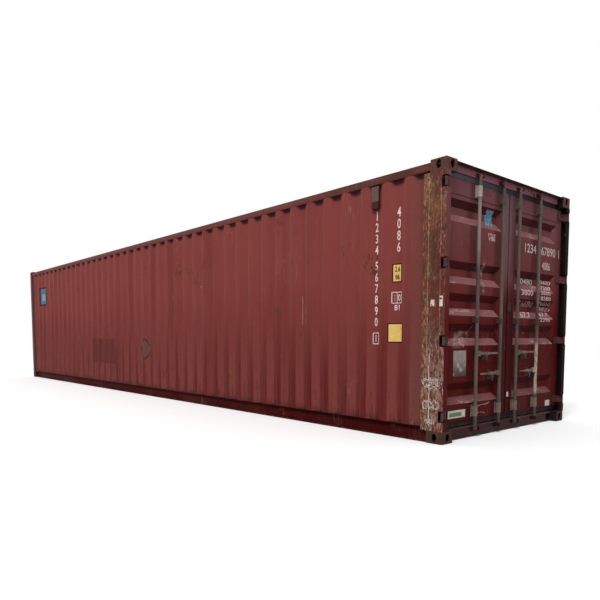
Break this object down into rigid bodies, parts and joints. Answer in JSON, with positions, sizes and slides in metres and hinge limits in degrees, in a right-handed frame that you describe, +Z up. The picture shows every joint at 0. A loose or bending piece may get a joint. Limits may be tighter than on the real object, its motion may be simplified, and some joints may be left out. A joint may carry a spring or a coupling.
{
  "type": "shipping container",
  "caption": "Corrugated steel dry freight box with corner fittings, hinged end doors, lock rods and a plywood floor.",
  "frame": {"origin": "centre of the footprint at ground level", "axes": "+X along the length towards the doors, +Y across to the right of someone who looks at the doors, +Z up"},
  "size_m": [12.192, 2.438, 2.591],
  "materials": {
    "oxide_paint": "weathered satin",
    "door_paint": "weathered satin",
    "rusted_paint": "rusted and scraped",
    "casting_steel": "rusted casting",
    "worn_steel": "worn paint",
    "galvanised_steel": "dull zinc",
    "gasket_rubber": "matt",
    "plywood": "worn"
  },
  "bodies": {
    "root": {"corner_fittings_top": "casting_steel", "corner_fittings_bottom": "casting_steel", "rear_post_left": "rusted_paint", "rear_post_right": "oxide_paint", "door_jamb_left": "oxide_paint", "door_jamb_right": "oxide_paint", "front_posts": "oxide_paint", "door_header": "oxide_paint", "door_sill": "oxide_paint", "top_side_rails": "oxide_paint", "bottom_side_rails": "oxide_paint", "front_top_rail": "oxide_paint", "front_bottom_rail": "oxide_paint", "side_wall_left": "oxide_paint", "side_wall_right": "oxide_paint", "front_wall": "oxide_paint", "roof_panel": "oxide_paint", "floor_boards": "plywood", "cross_members": "oxide_paint", "gooseneck_tunnel_roof": "oxide_paint", "gooseneck_tunnel_sides": "oxide_paint", "gooseneck_tunnel_end": "oxide_paint", "ventilators": "oxide_paint", "hinge_lugs": "oxide_paint", "hinge_pins": "galvanised_steel", "keepers_upper": "worn_steel", "keepers_lower": "worn_steel"},
    "door_left": {"door_left_frame": "door_paint", "door_left_panel": "door_paint", "door_left_gasket": "gasket_rubber", "door_left_hinges": "door_paint", "door_left_brackets": "galvanised_steel", "door_left_catches": "galvanised_steel"},
    "door_right": {"door_right_frame": "door_paint", "door_right_panel": "door_paint", "door_right_gasket": "gasket_rubber", "door_right_hinges": "door_paint", "door_right_brackets": "galvanised_steel", "door_right_catches": "galvanised_steel"},
    "rod_1": {"lock_rod_1": "galvanised_steel"},
    "handle_1": {"lock_handle_1": "galvanised_steel"},
    "hasp_1": {"catch_hasp_1": "galvanised_steel"},
    "rod_2": {"lock_rod_2": "galvanised_steel"},
    "handle_2": {"lock_handle_2": "galvanised_steel"},
    "hasp_2": {"catch_hasp_2": "galvanised_steel"},
    "rod_3": {"lock_rod_3": "galvanised_steel"},
    "handle_3": {"lock_handle_3": "galvanised_steel"},
    "hasp_3": {"catch_hasp_3": "galvanised_steel"},
    "rod_4": {"lock_rod_4": "galvanised_steel"},
    "handle_4": {"lock_handle_4": "galvanised_steel"},
    "hasp_4": {"catch_hasp_4": "galvanised_steel"}
  },
  "joints": [
    {"name": "door_left_swing", "type": "hinge", "parent": "root", "child": "door_left", "pos_m": [6.084, -1.207, 1.3], "axis": [0, 0, -1], "range_deg": [0, 270]},
    {"name": "door_right_swing", "type": "hinge", "parent": "root", "child": "door_right", "pos_m": [6.084, 1.207, 1.3], "axis": [0, 0, 1], "range_deg": [0, 270]},
    {"name": "rod_1_turn", "type": "hinge", "parent": "door_left", "child": "rod_1", "pos_m": [6.049, -0.605, 1.3], "axis": [0, 0, 1], "range_deg": [-110, 0]},
    {"name": "handle_1_lift", "type": "hinge", "parent": "rod_1", "child": "handle_1", "pos_m": [6.049, -0.559, 0.828], "axis": [-1, 0, 0], "range_deg": [-25, 0]},
    {"name": "hasp_1_turn", "type": "hinge", "parent": "door_left", "child": "hasp_1", "pos_m": [6.0643, -0.44, 0.798], "axis": [1, 0, 0], "range_deg": [0, 180]},
    {"name": "rod_2_turn", "type": "hinge", "parent": "door_left", "child": "rod_2", "pos_m": [6.049, -0.165, 1.3], "axis": [0, 0, -1], "range_deg": [-110, 0]},
    {"name": "handle_2_lift", "type": "hinge", "parent": "rod_2", "child": "handle_2", "pos_m": [6.049, -0.211, 0.625], "axis": [1, 0, 0], "range_deg": [-25, 0]},
    {"name": "hasp_2_turn", "type": "hinge", "parent": "door_left", "child": "hasp_2", "pos_m": [6.0643, -0.33, 0.595], "axis": [1, 0, 0], "range_deg": [0, 180]},
    {"name": "rod_3_turn", "type": "hinge", "parent": "door_right", "child": "rod_3", "pos_m": [6.049, 0.165, 1.3], "axis": [0, 0, 1], "range_deg": [-110, 0]},
    {"name": "handle_3_lift", "type": "hinge", "parent": "rod_3", "child": "handle_3", "pos_m": [6.049, 0.211, 0.828], "axis": [-1, 0, 0], "range_deg": [-25, 0]},
    {"name": "hasp_3_turn", "type": "hinge", "parent": "door_right", "child": "hasp_3", "pos_m": [6.0643, 0.33, 0.798], "axis": [1, 0, 0], "range_deg": [0, 180]},
    {"name": "rod_4_turn", "type": "hinge", "parent": "door_right", "child": "rod_4", "pos_m": [6.049, 0.605, 1.3], "axis": [0, 0, -1], "range_deg": [-110, 0]},
    {"name": "handle_4_lift", "type": "hinge", "parent": "rod_4", "child": "handle_4", "pos_m": [6.049, 0.559, 0.625], "axis": [1, 0, 0], "range_deg": [-25, 0]},
    {"name": "hasp_4_turn", "type": "hinge", "parent": "door_right", "child": "hasp_4", "pos_m": [6.0643, 0.44, 0.595], "axis": [1, 0, 0], "range_deg": [0, 180]}
  ]
}
